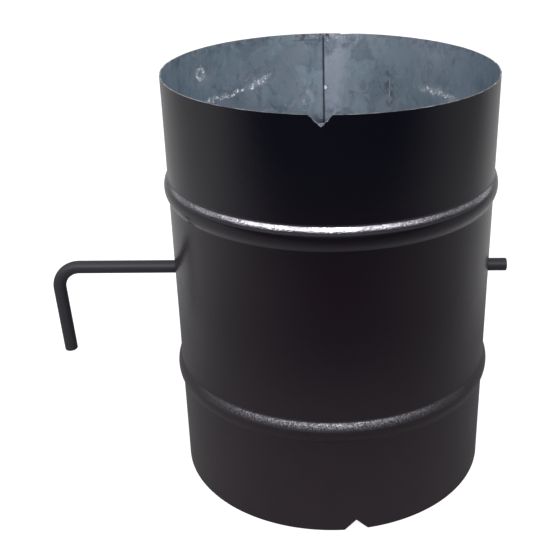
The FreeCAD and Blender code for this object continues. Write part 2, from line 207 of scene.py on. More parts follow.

# Marks, painted shade and painted highlights inside the pipe. Angles are in radians from straight behind to the
# right.
# Three numbers are the low end, the high end and the softness of both.
RAGGED_SCALE = 260.0
GLINT_SCALE = 1150.0
BAND_LEFT = (-0.046, -0.04)
BAND_RIGHT = (0.17, 0.04)
BAND_SHARE = 0.22
# Painted shade: the inside grows darker towards its right
SHADED_SIDE_ANGLES = (0.04, 0.36)
SHADED_SIDE_SHARE = 0.3
LIP_ANGLES = (-0.088, -0.058, 0.008)
LIP_SHARE = 0.16
# Painted shade: a dark line along the crevice at the seam's fold
CREVICE_SHADE_ANGLES = (-0.0545, -0.0435, 0.004)
CREVICE_SHADE_SHARE = 0.82
OVERSPRAY_HEIGHTS = (192.0 * MM, 200.0 * MM)
OVERSPRAY_SHARE = 0.4
BY_SEAM_ANGLES = (-0.22, 0.16, 0.12)
SMUDGE_HEIGHTS = (188.0 * MM, 197.0 * MM)
SMUDGE_SHARE = 0.5
NICK_HEIGHTS = (196.5 * MM, 199.0 * MM)
NICK_SHARE = 0.28
BURR_REACH = (1.3 * MM, 0.6 * MM)
BURR_SHARE = 0.8
SCRIBED_HEIGHTS = (196.5 * MM, 197.2 * MM, 0.3 * MM)
SCRIBED_ANGLES = (-0.26, -0.09, 0.02)
SCRIBED_SHARE = 0.35
RUN_HEIGHTS = (164.0 * MM, 183.0 * MM, 3.0 * MM)
RUN_ANGLES = (0.385, 0.455, 0.02)
SEAM_RUN_HEIGHTS = (165.0 * MM, 157.0 * MM)
SEAM_RUN_ANGLES = (-0.13, 0.07, 0.04)
RUN_SHARE = 0.45
SCRATCH_HEIGHTS = (165.5 * MM, 178.0 * MM, 2.0 * MM)
SCRATCH_ANGLES = (0.421, 0.427, 0.003)
SCRATCH_SHARE = 0.5
# Painted glare highlight at the left of the seam
GLARE_ANGLE = -0.182
GLARE_HEIGHT = 166.5 * MM
GLARE_REACH = (7.0 * MM, 1.0 * MM)
GLARE_SHARE = 0.4
# Painted highlights inside: two streaks, and a ring round the dent
STREAK_WAVER = 7.0 * MM
LEFT_STREAK_HEIGHTS = (171.8 * MM, 174.0 * MM, 0.8 * MM)
LEFT_STREAK_ANGLES = (-0.98, -0.44, 0.04)
LEFT_STREAK_FOOT = -0.943
LEFT_STREAK_CLIMB = 53.0 * MM
LEFT_STREAK_SKIP = (-0.625, -0.59, 0.02)
LEFT_STREAK_SKIPPED = 0.15
RIGHT_STREAK_HEIGHTS = (177.1 * MM, 179.7 * MM, 1.0 * MM)
RIGHT_STREAK_ANGLES = (0.66, 0.96, 0.05)
RIGHT_STREAK_FALL = 5.0 * MM
RIGHT_STREAK_SHARE = 0.6
# Painted highlight: a soft glow round the right streak
HIGHLIGHT_GLOW_HEIGHTS = (175.5 * MM, 181.0 * MM, 3.0 * MM)
HIGHLIGHT_GLOW_ANGLES = (0.7, 0.95, 0.1)
HIGHLIGHT_GLOW_SHARE = 0.14
DENT_RING_ANGLE = -1.008
DENT_RING_HEIGHT = 187.7 * MM
DENT_RING = (1.6 * MM, 3.4 * MM, 1.0 * MM)
UNGLINTED = 0.15

# Bare cut edge
EDGE_DARK = (0.12, 0.12, 0.14, 1)
EDGE_BRIGHT = (0.75, 0.75, 0.8, 1)
EDGE_MARK_SCALE = 160.0

# Floor
FLOOR_SIZE = 12.0
FLOOR_DROP = 0.2 * MM
FLOOR_OPEN = (0.37, 0.37, 0.37, 1)
FLOOR_LEFT = (0.32, 0.32, 0.32, 1)
FLOOR_RIGHT = (0.2, 0.2, 0.2, 1)
FLOOR_AHEAD = (0.03, 0.03, 0.03, 1)
FLOOR_DIM_FROM = -0.42
FLOOR_DIM_TO = 0.2
FLOOR_DIM_SPREAD = 0.34
FLOOR_DIM_RIGHT = 0.02
FLOOR_BESIDE_BACK = 1.2
FLOOR_BESIDE_REACH = 0.45
FLOOR_SIDES_MEET = 0.1
FLOOR_GLOW = 0.85
FLOOR_GLOW_MIRRORED = 0.05
WHITE = (1, 1, 1, 1)

# Room
ROOM_AHEAD = (0.21, 0.21, 0.22, 1)
ROOM_BEHIND = (0.58, 0.58, 0.59, 1)
ROOM_OVERHEAD = (0.95, 0.95, 0.96, 1)
ROOM_DIM_FROM = -0.45
ROOM_DIM_TO = 0.95
ROOM_LEFT_SHARE = 0.1
ROOM_TOP_FROM = 0.55

# Lamps, an arch of soft strips: bearing and elevation, width and tallness, radiance
LAMP_TINT = (1.0, 0.975, 1.0)
STRIP_DISTANCE = 1.35
STRIPS = (
    (-120, 8.0, 0.62, 0.13, 0.8),
    (-96, 18.5, 0.62, 0.13, 2.2),
    (-70, 27.7, 0.62, 0.13, 6),
    (-45, 33.5, 0.62, 0.18, 11),
    (-20, 37.0, 0.62, 0.16, 12.5),
    (3, 37.7, 0.42, 0.13, 47),
    (26, 36.4, 0.62, 0.13, 11),
    (50, 32.4, 0.62, 0.13, 5.5),
    (75, 26.0, 0.62, 0.13, 2),
    (100, 17.0, 0.62, 0.13, 1.2),
    (122, 7.0, 0.62, 0.13, 1),
)

# Camera
CAMERA_BACK = 430.78 * MM
CAMERA_UP = 301.81 * MM
CAMERA_PITCH = 0.4476
CAMERA_ROLL = -0.0069
CAMERA_NEAR = 0.01
FOCAL_PIXELS = 958.73
CENTRE_X = 331.83
CENTRE_Y = 277.44
PICTURE = 560
SENSOR = 36.0


def clear_selection():
    bpy.ops.object.select_all(action="DESELECT")


def take_up(piece):
    """Makes one piece the only one selected, and the active one."""
    clear_selection()
    bpy.context.view_layer.objects.active = piece
    piece.select_set(True)


def apply_modifier(piece, kind, **settings):
    """Adds one modifier to a piece and applies it."""
    take_up(piece)
    bpy.ops.object.modifier_add(type=kind)
    modifier = piece.modifiers[-1]
    for name, setting in settings.items():
        setattr(modifier, name, setting)
    bpy.ops.object.modifier_apply(modifier=modifier.name)


def settle():
    """Puts a new primitive's place and turn into its mesh."""
    bpy.ops.object.transform_apply(location=True, rotation=True, scale=True)
    return bpy.context.object


def smooth(piece):
    take_up(piece)
    bpy.ops.object.shade_smooth_by_angle(angle=math.radians(SMOOTH_ANGLE))


def ridge(height, crest, root, slope):
    """Steps along and rises across a pressed ridge: root curve, straight flank, round crest and back."""
    reach = crest + root
    flank = (height - reach * (1 - math.cos(slope))) / math.tan(slope)
    half_width = reach * math.sin(slope) + flank
    points = []
    for step in range(ARC_STEPS + 1):
        turn = slope * step / ARC_STEPS
        points.append((root * math.sin(turn) - half_width, root * (1 - math.cos(turn))))
    foot = list(points)
    for step in range(2 * ARC_STEPS + 1):
        turn = slope * (step / ARC_STEPS - 1)
        points.append((crest * math.sin(turn), height - crest * (1 - math.cos(turn))))
    for along, rise in reversed(foot):
        points.append((-along, rise))
    return points


def straight_steps(start, end, step):
    """Evenly spaced places from a start up to, but not at, an end."""
    count = max(1, round((end - start) / step))
    return [start + (end - start) * number / count for number in range(count)]


def wall_stations():
    """Radius and height up the wall, bottom rim to top rim, through both beads."""
    lower_bead = ridge(BEAD_HEIGHT, LOWER_BEAD_CREST, BEAD_ROOT, math.radians(LOWER_BEAD_SLOPE))
    upper_bead = ridge(BEAD_HEIGHT, UPPER_BEAD_CREST, BEAD_ROOT, math.radians(UPPER_BEAD_SLOPE))
    stations = []
    height = 0.0
    for bead, offset in ((lower_bead, -BEAD_OFFSET), (upper_bead, BEAD_OFFSET)):
        bead_height = ROD_HEIGHT + offset
        half_width = bead[-1][0]
        for place in straight_steps(height, bead_height - half_width, WALL_STEP):
            stations.append((PIPE_RADIUS, place))
        for along, rise in bead[:-1]:
            stations.append((PIPE_RADIUS + rise, bead_height + along))
        height = bead_height + half_width
    for place in straight_steps(height, PIPE_LENGTH, WALL_STEP):
        stations.append((PIPE_RADIUS, place))
    stations.append((PIPE_RADIUS, PIPE_LENGTH))
    return stations


def standing_chain(stations):
    """A chain of vertices up the wall, on the +X side, left selected in edit mode."""
    clear_selection()
    radius, height = stations[0]
    bpy.ops.mesh.primitive_plane_add(size=MM, location=(radius, 0, height))
    settle()
    bpy.ops.object.mode_set(mode="EDIT")
    bpy.ops.mesh.select_all(action="SELECT")
    bpy.ops.mesh.merge(type="CENTER")
    for (radius_a, height_a), (radius_b, height_b) in zip(stations, stations[1:]):
        step = (radius_b - radius_a, 0, height_b - height_a)
        bpy.ops.mesh.extrude_region_move(TRANSFORM_OT_translate={"value": step})
    bpy.ops.mesh.select_all(action="SELECT")


def sweep(turn, factor=1.0, steps=1):
    """Carries the selected chain round the pipe axis, and then nearer to it or away."""
    bpy.ops.mesh.spin(steps=steps, angle=-turn, center=ORIGIN, axis=UP)
    if factor != 1.0:
        bpy.ops.transform.resize(value=(factor, factor, 1), center_override=ORIGIN)


def sweep_path(path):
    """Sweeps along angles and radii, each given for the face that is outside on the wall."""
    for (angle_a, radius_a), (angle_b, radius_b) in zip(path, path[1:]):
        sweep(angle_b - angle_a, radius_b / radius_a)


def fold(angle, radius, bend, way):
    """Stations round a half-circle fold, outwards from a place on the seam."""
    stations = []
    for step in range(1, FOLD_STEPS + 1):
        turn = math.pi * step / FOLD_STEPS
        along = bend * math.sin(turn)
        rise = bend * (1 - math.cos(turn))
        stations.append((angle + way * along / PIPE_RADIUS, radius + rise))
    return stations


def roll_pipe_shell():
    """The pipe's sheet: hook, fold, the whole wall, the jog, lap, fold and hook."""
    edge = math.radians(SEAM_ANGLE)
    band = SEAM_WIDTH / PIPE_RADIUS
    jog = SEAM_JOG / PIPE_RADIUS
    shortfall = HOOK_SHORTFALL / PIPE_RADIUS
    hook_face = PIPE_RADIUS - 2 * LAYER - SHEET
    lap_face = PIPE_RADIUS - 3 * LAYER
    inner_hook_face = PIPE_RADIUS - LAYER - SHEET
    outer_bend = (PIPE_RADIUS - hook_face) / 2
    inner_bend = (inner_hook_face - lap_face) / 2
    outer_fold = edge - band + outer_bend / PIPE_RADIUS
    inner_fold = edge - (inner_bend + SHEET) / PIPE_RADIUS + 2 * math.pi

    standing_chain(wall_stations())
    start_angle = edge - shortfall
    sweep_path([(0.0, PIPE_RADIUS), (start_angle, hook_face)])
    bpy.ops.mesh.select_all(action="INVERT")
    bpy.ops.mesh.delete(type="VERT")
    bpy.ops.mesh.select_all(action="SELECT")

    first = [(start_angle, hook_face), (outer_fold, hook_face)]
    first += fold(outer_fold, hook_face, outer_bend, -1)
    first.append((edge, PIPE_RADIUS))
    sweep_path(first)
    whole_turn = 2 * math.pi - band - jog
    sweep(whole_turn, steps=WALL_TURN_STEPS)
    last = []
    jog_start = edge + whole_turn
    for step in range(JOG_STEPS + 1):
        share = step / JOG_STEPS
        ease = share * share * (3 - 2 * share)
        last.append((jog_start + jog * share, PIPE_RADIUS + (lap_face - PIPE_RADIUS) * ease))
    last.append((inner_fold, lap_face))
    last += fold(inner_fold, lap_face, inner_bend, 1)
    last.append((edge + 2 * math.pi - band + shortfall, inner_hook_face))
    sweep_path(last)
    bpy.ops.mesh.select_all(action="SELECT")
    bpy.ops.mesh.remove_doubles(threshold=MERGE_REACH)
    bpy.ops.mesh.normals_make_consistent(inside=False)
    bpy.ops.object.mode_set(mode="OBJECT")
    rolled = bpy.context.object
    rolled.name = "rolled_shell"
    return rolled


def make_uneven(piece):
    """Waves the rolled wall a little inwards, away from the seam."""
    unevenness = bpy.data.textures.new("rolled_unevenness", "CLOUDS")
    unevenness.noise_scale = WAVE_SIZE
    free_wall = piece.vertex_groups.new(name="wall_away_from_seam")
    for vertex in piece.data.vertices:
        from_seam = abs(math.atan2(vertex.co.x, vertex.co.y)) - WAVE_START
        free_wall.add([vertex.index], min(1.0, max(0.0, from_seam / WAVE_START)), "REPLACE")
    apply_modifier(
        piece,
        "DISPLACE",
        texture=unevenness,
        strength=WAVE_DEPTH,
        mid_level=1.0,
        vertex_group=free_wall.name,
    )


def thicken(piece):
    """Gives the sheet its thickness inwards, zinc on the inside and bare metal on its edges."""
    apply_modifier(
        piece,
        "SOLIDIFY",
        thickness=SHEET,
        offset=-1.0,
        use_even_offset=True,
        material_offset=INSIDE_SLOT,
        material_offset_rim=EDGE_SLOT,
    )


def notch_tool(angle, rim, depth, width, upward):
    """A wedge that cuts a V in a rim, at an angle from straight ahead."""
    clear_selection()
    radius_x = NOTCH_TOOL_OVERSIZE * width / math.sqrt(3)
    radius_z = NOTCH_TOOL_OVERSIZE * depth / 1.5
    bpy.ops.mesh.primitive_cylinder_add(vertices=3, radius=1, depth=1)
    tool = bpy.context.object
    points = [(0.0, -1.0), (math.sqrt(3) / 2, 0.5), (-math.sqrt(3) / 2, 0.5)]
    middle = rim - upward * (depth - radius_z)
    turn = Matrix.Rotation(math.radians(angle), 3, "Z")
    for vertex in tool.data.vertices:
        corner = Vector((vertex.co.x, -vertex.co.y))
        near = min(points, key=lambda point: (Vector(point) - corner).length)
        deep = -PIPE_RADIUS + vertex.co.z * NOTCH_TOOL_LENGTH
        vertex.co = turn @ Vector((near[0] * radius_x, deep, middle + upward * near[1] * radius_z))
    return tool


def seam_tool(angle, height, radius, near, far, sides=PUNCH_SIDES):
    """A bar that goes into the seam from inside, between two distances from the axis."""
    clear_selection()
    turn = math.radians(angle)
    middle = (near + far) / 2
    bpy.ops.mesh.primitive_cylinder_add(
        vertices=sides,
        radius=radius,
        depth=far - near,
        location=(middle * math.cos(turn), middle * math.sin(turn), height),
        rotation=(math.pi / 2, 0, turn + math.pi / 2),
    )
    return settle()


def hole_tool():
    """A round bar through both walls, where the rod passes."""
    clear_selection()
    bpy.ops.mesh.primitive_cylinder_add(
        vertices=ROD_HOLE_SIDES,
        radius=ROD_RADIUS + ROD_HOLE_GAP,
        depth=3 * PIPE_RADIUS,
        location=(0, 0, ROD_HEIGHT),
        rotation=(0, math.pi / 2, 0),
    )
    return settle()


def cut_away(piece, tool, cut_slot):
    """Cuts a piece with a tool shape, which is then thrown away. The cut shows the given slot."""
    for material in piece.data.materials:
        tool.data.materials.append(material)
    for polygon in tool.data.polygons:
        polygon.material_index = cut_slot
    take_up(tool)
    bpy.ops.object.mode_set(mode="EDIT")
    bpy.ops.mesh.select_all(action="SELECT")
    bpy.ops.mesh.normals_make_consistent(inside=False)
    bpy.ops.object.mode_set(mode="OBJECT")
    apply_modifier(piece, "BOOLEAN", object=tool, operation="DIFFERENCE", solver="EXACT")
    bpy.data.objects.remove(tool)


def cut_openings(piece):
    """Cuts the notches, the rod holes, the punch mark, the seam hole and the clipped seam ends."""
    top_notch = notch_tool(TOP_NOTCH_ANGLE, PIPE_LENGTH, TOP_NOTCH_DEPTH, TOP_NOTCH_WIDTH, 1)
    cut_away(piece, top_notch, EDGE_SLOT)
    bottom_notch = notch_tool(BOTTOM_NOTCH_ANGLE, 0.0, BOTTOM_NOTCH_DEPTH, BOTTOM_NOTCH_WIDTH, -1)
    cut_away(piece, bottom_notch, EDGE_SLOT)
    cut_away(piece, hole_tool(), EDGE_SLOT)
    near = LAP_FACE - SHEET
    punch = seam_tool(PUNCH_ANGLE, PUNCH_HEIGHT, PUNCH_RADIUS, near, LAP_FACE + PUNCH_DEPTH)
    cut_away(piece, punch, EDGE_SLOT)
    seam_hole = seam_tool(SEAM_HOLE_ANGLE, SEAM_HOLE_HEIGHT, SEAM_HOLE_RADIUS, near, FOLD_FACE)
    cut_away(piece, seam_hole, INSIDE_SLOT)
    for rim in (0.0, PIPE_LENGTH):
        clip = seam_tool(SEAM_ANGLE, rim, CORNER_CLIP, near - SHEET, FOLD_FACE, CLIP_SIDES)
        cut_away(piece, clip, EDGE_SLOT)


def knock_dent(piece):
    """Pushes the sheet out a little round one place on the wall."""
    turn = math.radians(DENT_ANGLE)
    across = Vector((math.cos(turn), math.sin(turn), 0))
    place = across * (PIPE_RADIUS - SHEET / 2) + Vector((0, 0, DENT_HEIGHT))
    take_up(piece)
    bpy.ops.object.mode_set(mode="EDIT")
    bpy.ops.mesh.select_all(action="DESELECT")
    mesh = bmesh.from_edit_mesh(piece.data)
    nearest = min(mesh.verts, key=lambda vertex: (vertex.co - place).length)
    nearest.select_set(True)
    bmesh.update_edit_mesh(piece.data)
    bpy.ops.transform.translate(
        value=across * DENT_DEPTH,
        use_proportional_edit=True,
        proportional_edit_falloff="SMOOTH",
        proportional_size=DENT_REACH,
    )
    bpy.ops.object.mode_set(mode="OBJECT")


def bend_rod():
    """Round bar from the stub, through the pipe, round the bend and down the handle."""
    lean = math.radians(HANDLE_LEAN)
    bend_x = rod_low.x + HANDLE_BEND + ROD_RADIUS
    leg_top = ROD_HEIGHT - HANDLE_BEND * (1 + math.sin(lean))
    leg_bottom = rod_low.z + ROD_RADIUS * math.sin(lean)
    leg = (leg_top - leg_bottom) / math.cos(lean)
    clear_selection()
    bpy.ops.mesh.primitive_circle_add(
        vertices=ROD_SIDES,
        radius=ROD_RADIUS,
        location=(STUB_END, 0, ROD_HEIGHT),
        rotation=(0, math.pi / 2, 0),
    )
    bar = settle()
    bar.name = "bent_rod"
    bpy.ops.object.mode_set(mode="EDIT")
    bpy.ops.mesh.select_all(action="SELECT")
    bpy.ops.mesh.extrude_region_move(TRANSFORM_OT_translate={"value": (bend_x - STUB_END, 0, 0)})
    bpy.ops.mesh.spin(
        steps=BEND_STEPS,
        angle=math.pi / 2 + lean,
        center=(bend_x, 0, ROD_HEIGHT - HANDLE_BEND),
        axis=ACROSS,
    )
    down = (leg * math.sin(lean), 0, -leg * math.cos(lean))
    bpy.ops.mesh.extrude_region_move(TRANSFORM_OT_translate={"value": down})
    bpy.ops.mesh.select_all(action="SELECT")
    bpy.ops.mesh.remove_doubles(threshold=MERGE_REACH)
    bpy.ops.mesh.fill_holes(sides=0)
    bpy.ops.mesh.normals_make_consistent(inside=False)
    bpy.ops.mesh.select_all(action="DESELECT")
    mesh = bmesh.from_edit_mesh(bar.data)
    for face in mesh.faces:
        if len(face.verts) == ROD_SIDES:
            for edge in face.edges:
                edge.select_set(True)
    bmesh.update_edit_mesh(bar.data)
    bpy.ops.mesh.bevel(offset=ROD_END_ROUND, segments=ROD_END_STEPS)
    bpy.ops.object.mode_set(mode="OBJECT")
    return bar


def new_material(name):
    material = bpy.data.materials.new(name)
    material.use_nodes = True
    return material, material.node_tree, material.node_tree.nodes["Principled BSDF"]


def add_node(tree, kind, sources=None, **settings):
    """A shader node with its settings, and links or values for its inputs by name or number."""
    node = tree.nodes.new(kind)
    for name, setting in settings.items():
        setattr(node, name, setting)
    for socket, source in (sources or {}).items():
        if isinstance(source, bpy.types.NodeSocket):
            tree.links.new(source, node.inputs[socket])
        else:
            node.inputs[socket].default_value = source
    return node


def place_on_object(tree):
    return add_node(tree, "ShaderNodeTexCoord").outputs["Object"]


def split(tree, place):
    """The x, y and z of a place."""
    return add_node(tree, "ShaderNodeSeparateXYZ", {0: place}).outputs


def noise(tree, place, scale, detail=2.0, roughness=0.5, distortion=0.0):
    sources = {
        "Vector": place,
        "Scale": scale,
        "Detail": detail,
        "Roughness": roughness,
        "Distortion": distortion,
    }
    return add_node(tree, "ShaderNodeTexNoise", sources).outputs["Fac"]


def spread(tree, source, low, high, new_low=0.0, new_high=1.0):
    """Stretches the part of a value between low and high to a new span, smoothly."""
    sources = {0: source, 1: low, 2: high, 3: new_low, 4: new_high}
    node = add_node(tree, "ShaderNodeMapRange", sources, interpolation_type="SMOOTHSTEP")
    return node.outputs[0]


def reckon(tree, operation, first, second):
    return add_node(tree, "ShaderNodeMath", {0: first, 1: second}, operation=operation).outputs[0]


def product(tree, first, *others):
    for other in others:
        first = reckon(tree, "MULTIPLY", first, other)
    return first


def total(tree, first, *others):
    for other in others:
        first = reckon(tree, "ADD", first, other)
    return first


def less(tree, first, second):
    return reckon(tree, "SUBTRACT", first, second)


def greatest(tree, first, *others):
    for other in others:
        first = reckon(tree, "MAXIMUM", first, other)
    return first


def unsigned(tree, source):
    return add_node(tree, "ShaderNodeMath", {0: source}, operation="ABSOLUTE").outputs[0]


def window(tree, source, low, high, soft):
    """One between low and high, with soft ends."""
    rising = spread(tree, source, low - soft, low + soft)
    falling = spread(tree, source, high + soft, high - soft)
    return product(tree, rising, falling)


def blend_colour(tree, share, first, second):
    sources = {0: share, 6: first, 7: second}
    return add_node(tree, "ShaderNodeMix", sources, data_type="RGBA").outputs[2]


def height_and_angle(tree, place):
    """Height up the pipe, and angle round it from straight behind to the right."""
    x, y, z = split(tree, place)
    return z, reckon(tree, "ARCTAN2", x, y)


def reach_from(tree, place, middle):
    """How far each place is from one point."""
    node = add_node(tree, "ShaderNodeVectorMath", {0: place, 1: middle}, operation="DISTANCE")
    return node.outputs["Value"]


def on_inside(angle, height):
    """A point on the pipe's inside, its angle taken from straight behind."""
    radius = PIPE_RADIUS - SHEET
    return (radius * math.sin(angle), radius * math.cos(angle), height)


def relief(tree, shader, height, depth, strength=1.0):
    """Raises a pattern on the surface, by its normals."""
    bump = add_node(tree, "ShaderNodeBump", {"Strength": strength, "Distance": depth, "Height": height})
    tree.links.new(bump.outputs[0], shader.inputs["Normal"])


def shared_effect(name, inputs, outputs):
    """A node group that several materials place, with its named sockets."""
    effect = bpy.data.node_groups.new(name, "ShaderNodeTree")
    for socket, kind in inputs.items():
        effect.interface.new_socket(socket, in_out="INPUT", socket_type="NodeSocket" + kind)
    for socket, kind in outputs.items():
        effect.interface.new_socket(socket, in_out="OUTPUT", socket_type="NodeSocket" + kind)
    source = effect.nodes.new("NodeGroupInput").outputs
    target = effect.nodes.new("NodeGroupOutput").inputs
    return effect, source, target


def place_effect(tree, effect, sources):
    return add_node(tree, "ShaderNodeGroup", sources, node_tree=effect).outputs


def paint_effect():
    """Sprayed heat paint: fine grain, cloudy gloss, painted reflection that turns a darker upper tone into a
    lighter lower one, and a film of dust lower down that also lightens it as painted reflection.
    """
    inputs = {
        "Place": "Vector",
        "Gloss": "Float",
        "Dust Dulling": "Float",
        "Upper Colour": "Color",
        "Lower Colour": "Color",
        "Dust Colour": "Color",
    }
    outputs = {"Colour": "Color", "Roughness": "Float", "Relief": "Float"}
    effect, source, target = shared_effect("sprayed_paint", inputs, outputs)
    place = source["Place"]
    share = reckon(effect, "DIVIDE", split(effect, place)[2], DUST_AND_REFLECTION_HEIGHT)

    # Painted reflection and dust: a patchy film lightens the paint towards the bottom, and a darker, bluer tone
    # takes over near the top
    film = noise(effect, place, DUST_AND_REFLECTION_FILM_SCALE, detail=5.0, roughness=0.65)
    dust_and_reflection = product(effect, spread(effect, film, 0.1, 0.8, 0.55, 1.0), spread(effect, share, 1.0, 0.15))
    lower = spread(effect, share, 1.9, 1.2)
    black = blend_colour(effect, lower, source["Upper Colour"], source["Lower Colour"])
    effect.links.new(blend_colour(effect, dust_and_reflection, black, source["Dust Colour"]), target["Colour"])

    cloud = noise(effect, place, GLOSS_CLOUD_SCALE, detail=4.0, roughness=0.6)
    cloudy = product(effect, less(effect, cloud, 0.5), GLOSS_CLOUD_DEPTH)
    dulled = product(effect, spread(effect, share, 1.35, 0.6), source["Dust Dulling"])
    effect.links.new(total(effect, source["Gloss"], cloudy, dulled), target["Roughness"])

    grain = noise(effect, place, GRAIN_SCALE, detail=2.0, roughness=0.6)
    peel = noise(effect, place, PEEL_SCALE, detail=2.0)
    effect.links.new(total(effect, grain, product(effect, peel, PEEL_SHARE)), target["Relief"])
    return effect


def burnish_mask(tree, place, height, angle):
    """Speckled wear on the beads' upper flanks: on the lower bead only ahead, on the upper all round."""
    lower_bead = ROD_HEIGHT - BEAD_OFFSET
    upper_bead = ROD_HEIGHT + BEAD_OFFSET
    lower_flank = (lower_bead + LOWER_FLANK_START, lower_bead + FLANK_END, FLANK_SOFT)
    upper_flank = (upper_bead + UPPER_FLANK_START, upper_bead + FLANK_END, FLANK_SOFT)
    speckle = spread(tree, noise(tree, place, BURNISH_SCALE, detail=2.0, roughness=0.6), 0.36, 0.64)
    from_ahead = less(tree, math.pi, unsigned(tree, angle))
    ahead = spread(tree, from_ahead, *LOWER_RUB_REACH, 0.0, LOWER_BEAD_RUB)
    lower_rub = product(tree, window(tree, height, *lower_flank), ahead, speckle)
    evener = spread(tree, speckle, 0.0, 1.0, *UPPER_BEAD_RUB)
    upper_rub = product(tree, window(tree, height, *upper_flank), evener)
    return total(tree, upper_rub, lower_rub)


def notch_chips(tree, place, height):
    """Small chips in the paint along the flanks of the top notch, more of them on its right."""
    x, y, z = split(tree, place)
    round_from_ahead = reckon(tree, "ARCTAN2", x, product(tree, y, -1.0))
    turned = less(tree, round_from_ahead, math.radians(TOP_NOTCH_ANGLE))
    aside = product(tree, unsigned(tree, turned), PIPE_RADIUS)
    tip = PIPE_LENGTH - TOP_NOTCH_DEPTH
    flank = product(tree, less(tree, height, tip), TOP_NOTCH_WIDTH / 2 / TOP_NOTCH_DEPTH)
    near = spread(tree, less(tree, aside, flank), *CHIP_REACH)
    above = spread(tree, height, tip - CHIP_BELOW_TIP[0], tip - CHIP_BELOW_TIP[1])
    on_right = spread(tree, turned, -CHIP_MIDDLE, CHIP_MIDDLE, CHIP_LEFT_SHARE, 1.0)
    flakes = spread(tree, noise(tree, place, CHIP_SCALE, detail=4.0, roughness=0.7), 0.5, 0.6)
    return product(tree, near, above, on_right, flakes, CHIP_SHARE)


def pipe_paint():
    """Satin black heat paint on the pipe, lighter lower down with dust and painted reflection, and worn on the
    beads.
    """
    material, tree, shader = new_material("black_heat_paint")
    place = place_on_object(tree)
    sources = {
        "Place": place,
        "Gloss": PIPE_GLOSS,
        "Dust Dulling": PIPE_DULLING,
        "Upper Colour": PIPE_UPPER_SHADED,
        "Lower Colour": PIPE_LOWER_LIT,
        "Dust Colour": PIPE_DUST_AND_REFLECTION,
    }
    coat = place_effect(tree, SPRAYED_PAINT, sources)
    height, angle = height_and_angle(tree, place)
    burnished = burnish_mask(tree, place, height, angle)
    colour = blend_colour(tree, burnished, coat["Colour"], BURNISHED_PAINT)
    colour = blend_colour(tree, notch_chips(tree, place, height), colour, CHIPPED_STEEL)
    fresh = spread(tree, height, *FRESH_PAINT_HEIGHTS, 0.0, FRESH_PAINT_SHEEN)
    tree.links.new(colour, shader.inputs["Base Color"])
    tree.links.new(coat["Roughness"], shader.inputs["Roughness"])
    tree.links.new(spread(tree, burnished, 0.0, BURNISHED_FROM), shader.inputs["Metallic"])
    tree.links.new(fresh, shader.inputs["Coat Weight"])
    shader.inputs["Coat Roughness"].default_value = FRESH_PAINT_ROUGHNESS
    shader.inputs["Specular IOR Level"].default_value = PIPE_SPECULAR
    relief(tree, shader, coat["Relief"], PIPE_GRAIN_DEPTH)
    return material


def rod_paint():
    """Plain black paint on the rod, with the pipe paint's grain and cloudy gloss."""
    material, tree, shader = new_material("black_rod_paint")
    sources = {"Place": place_on_object(tree), "Gloss": ROD_GLOSS, "Dust Dulling": 0.0}
    coat = place_effect(tree, SPRAYED_PAINT, sources)
    shader.inputs["Base Color"].default_value = ROD_BLACK
    tree.links.new(coat["Roughness"], shader.inputs["Roughness"])
    shader.inputs["Specular IOR Level"].default_value = ROD_SPECULAR
    relief(tree, shader, coat["Relief"], ROD_GRAIN_DEPTH)
    return material


def crystal_tones(tree, place):
    """Three random tones for each crystal of the zinc. The crystals' edges sway."""
    sources = {"Vector": place, "Scale": CRYSTAL_SWAY_SCALE, "Detail": 4.0}
    sway = add_node(tree, "ShaderNodeTexNoise", sources)
    sway_reach = {0: sway.outputs["Color"], 1: CRYSTAL_SWAY}
    shift = add_node(tree, "ShaderNodeVectorMath", sway_reach, operation="MULTIPLY").outputs[0]
    swayed = add_node(tree, "ShaderNodeVectorMath", {0: place, 1: shift}, operation="ADD").outputs[0]
    sources = {"Vector": swayed, "Scale": CRYSTAL_SCALE}
    crystals = add_node(tree, "ShaderNodeTexVoronoi", sources, feature="F1")
    return add_node(tree, "ShaderNodeSeparateColor", {0: crystals.outputs["Color"]}).outputs


